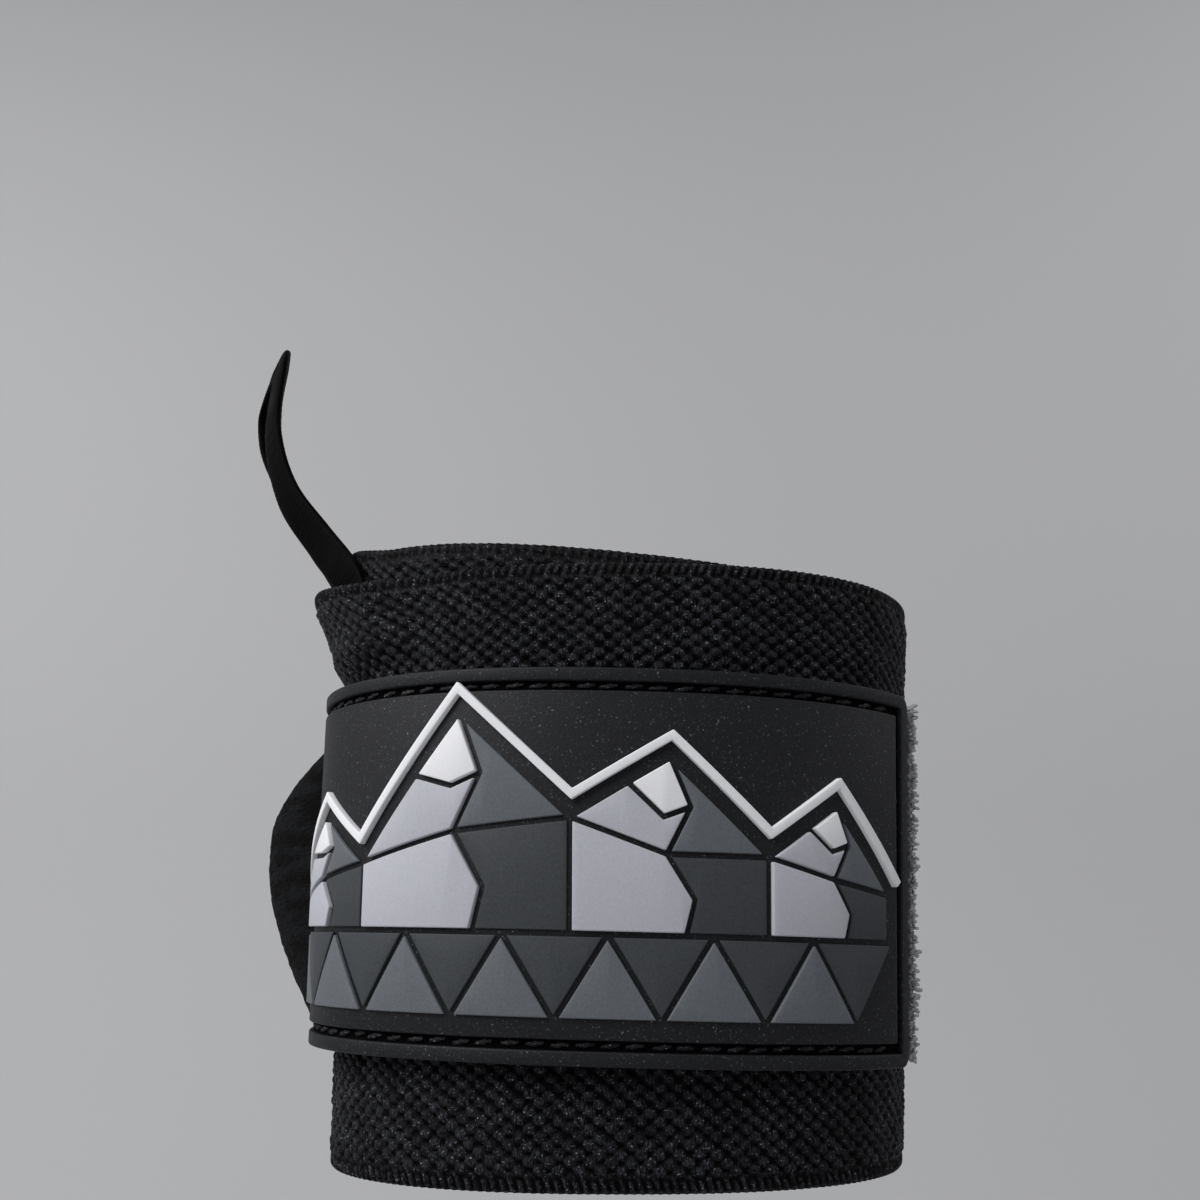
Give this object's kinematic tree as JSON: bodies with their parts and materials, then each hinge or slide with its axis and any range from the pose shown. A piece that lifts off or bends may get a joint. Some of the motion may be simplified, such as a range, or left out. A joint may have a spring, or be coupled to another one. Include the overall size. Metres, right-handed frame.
{
  "type": "lifting wrist wrap, fastened as worn on a right wrist",
  "caption": "Wound elastic wrist wrap with a thumb loop and a hook-and-loop tab under a moulded rubber patch.",
  "frame": {"origin": "middle of the wrist, at half the height of the wrap's outer turns", "axes": "+Z along the forearm towards the hand, -Y out of the back of the wrist where the patch lies, -X to the thumb's side"},
  "size_m": [0.1079, 0.0698, 0.1278],
  "materials": {
    "elastic": "woven, matt with a faint sheen",
    "loop_elastic": "ribbed, matt",
    "pile": "brushed pile, matt",
    "hook": "nylon hooks, frayed margin",
    "rubber": "moulded, matt, with raised white and grey faces"
  },
  "bodies": {
    "root": {"elastic_band": "elastic", "thumb_loop": "loop_elastic", "soft_strap": "pile", "hook_tape": "hook", "rubber_patch": "rubber"}
  },
  "joints": []
}
